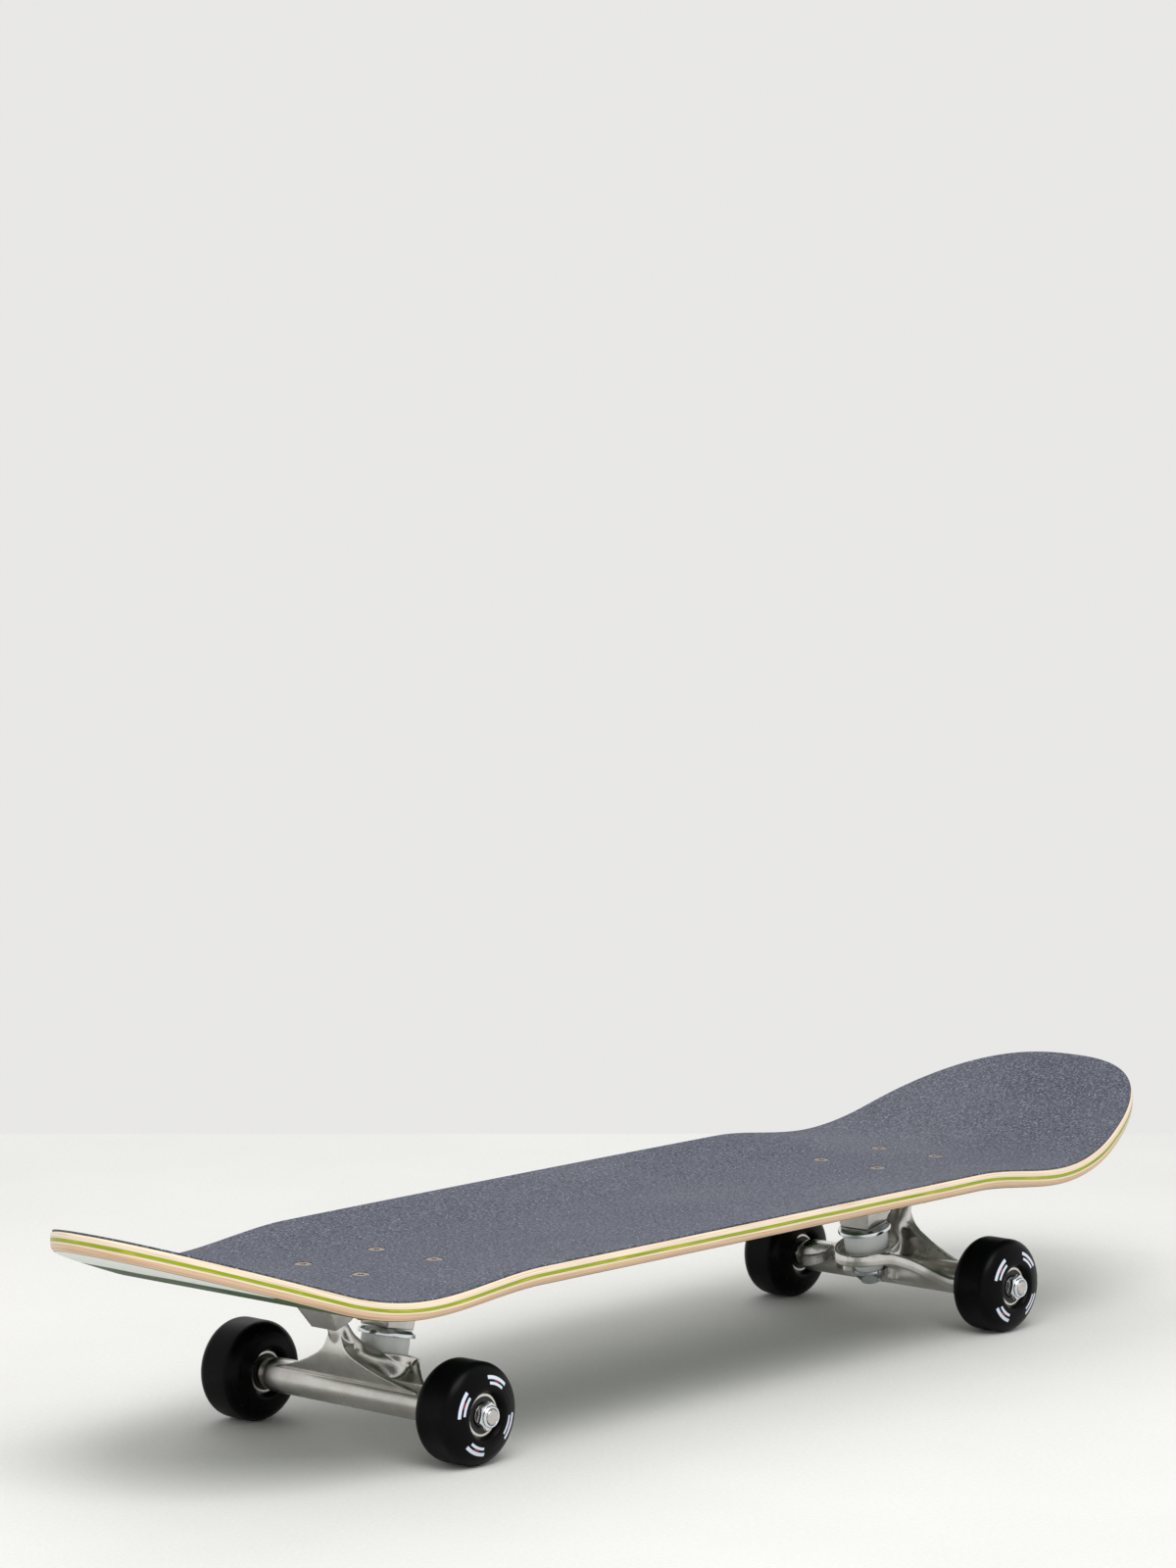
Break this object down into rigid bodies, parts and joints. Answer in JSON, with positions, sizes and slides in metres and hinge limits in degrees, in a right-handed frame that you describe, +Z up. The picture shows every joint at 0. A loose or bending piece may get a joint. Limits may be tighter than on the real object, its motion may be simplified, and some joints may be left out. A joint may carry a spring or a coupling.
{
  "type": "skateboard",
  "caption": "Street skateboard: kicked, concave maple deck with grip tape, on two steerable kingpin trucks with free-rolling black urethane wheels.",
  "frame": {"origin": "on the ground under the middle of the deck", "axes": "+X from nose to tail along the board, +Y across the board, to the right hand of someone who stands on it facing the nose, +Z up from the ground"},
  "size_m": [0.8058, 0.1954, 0.1334],
  "materials": {
    "maple": "glossy clear-coated seven-ply veneer with one dyed ply",
    "grip": "fine mineral grit on a dark sheet",
    "cast_aluminium": "raw as-cast, lightly tumbled",
    "steel": "plain turned steel",
    "zinc": "bright zinc plating",
    "black_steel": "black oxide",
    "worn_steel": "black finish worn to brown steel",
    "clear_urethane": "milky translucent urethane",
    "black_urethane": "satin cast urethane",
    "bearing_steel": "ground bearing rings with dark shields",
    "black_plastic": "moulded plastic"
  },
  "bodies": {
    "board": {"deck": "maple", "grip_tape": "grip", "nose_bolt_1": "worn_steel", "nose_bolt_2": "worn_steel", "nose_bolt_3": "worn_steel", "nose_bolt_4": "worn_steel", "nose_nut_1": "black_steel", "nose_nut_2": "black_steel", "nose_nut_3": "black_steel", "nose_nut_4": "black_steel", "nose_baseplate": "cast_aluminium", "nose_pivot_cup": "black_plastic", "nose_kingpin": "steel", "nose_kingpin_nut": "zinc", "nose_upper_washer": "zinc", "nose_upper_bushing": "clear_urethane", "nose_lower_washer": "zinc", "nose_lower_bushing": "clear_urethane", "tail_bolt_1": "worn_steel", "tail_bolt_2": "worn_steel", "tail_bolt_3": "worn_steel", "tail_bolt_4": "worn_steel", "tail_nut_1": "black_steel", "tail_nut_2": "black_steel", "tail_nut_3": "black_steel", "tail_nut_4": "black_steel", "tail_baseplate": "cast_aluminium", "tail_pivot_cup": "black_plastic", "tail_kingpin": "steel", "tail_kingpin_nut": "zinc", "tail_upper_washer": "zinc", "tail_upper_bushing": "clear_urethane", "tail_lower_washer": "zinc", "tail_lower_bushing": "clear_urethane"},
    "nose_truck": {"nose_hanger": "cast_aluminium", "nose_axle": "steel", "nose_left_axle_core": "bearing_steel", "nose_left_axle_nut": "zinc", "nose_right_axle_core": "bearing_steel", "nose_right_axle_nut": "zinc"},
    "nose_left_rolling": {"nose_left_wheel": "black_urethane", "nose_left_outer_bearing": "bearing_steel", "nose_left_inner_bearing": "bearing_steel"},
    "nose_right_rolling": {"nose_right_wheel": "black_urethane", "nose_right_outer_bearing": "bearing_steel", "nose_right_inner_bearing": "bearing_steel"},
    "tail_truck": {"tail_hanger": "cast_aluminium", "tail_axle": "steel", "tail_left_axle_core": "bearing_steel", "tail_left_axle_nut": "zinc", "tail_right_axle_core": "bearing_steel", "tail_right_axle_nut": "zinc"},
    "tail_left_rolling": {"tail_left_wheel": "black_urethane", "tail_left_outer_bearing": "bearing_steel", "tail_left_inner_bearing": "bearing_steel"},
    "tail_right_rolling": {"tail_right_wheel": "black_urethane", "tail_right_outer_bearing": "bearing_steel", "tail_right_inner_bearing": "bearing_steel"}
  },
  "joints": [
    {"name": "nose_steering", "type": "hinge", "parent": "board", "child": "nose_truck", "pos_m": [-0.19752, 0, 0.0377], "axis": [-0.7572, 0, 0.6532], "range_deg": [-12, 12], "stiffness_Nm_per_rad": 60, "deforming": ["nose_upper_bushing", "nose_lower_bushing"]},
    {"name": "tail_steering", "type": "hinge", "parent": "board", "child": "tail_truck", "pos_m": [0.20582, 0, 0.0377], "axis": [0.7572, 0, 0.6532], "range_deg": [-12, 12], "stiffness_Nm_per_rad": 60, "deforming": ["tail_upper_bushing", "tail_lower_bushing"]},
    {"name": "nose_left_roll", "type": "hinge", "parent": "nose_truck", "child": "nose_left_rolling", "pos_m": [-0.21715, -0.0772, 0.0265], "axis": [0, 1, 0], "continuous": true},
    {"name": "nose_right_roll", "type": "hinge", "parent": "nose_truck", "child": "nose_right_rolling", "pos_m": [-0.21715, 0.0772, 0.0265], "axis": [0, 1, 0], "continuous": true},
    {"name": "tail_left_roll", "type": "hinge", "parent": "tail_truck", "child": "tail_left_rolling", "pos_m": [0.22545, -0.0772, 0.0265], "axis": [0, 1, 0], "continuous": true},
    {"name": "tail_right_roll", "type": "hinge", "parent": "tail_truck", "child": "tail_right_rolling", "pos_m": [0.22545, 0.0772, 0.0265], "axis": [0, 1, 0], "continuous": true}
  ]
}
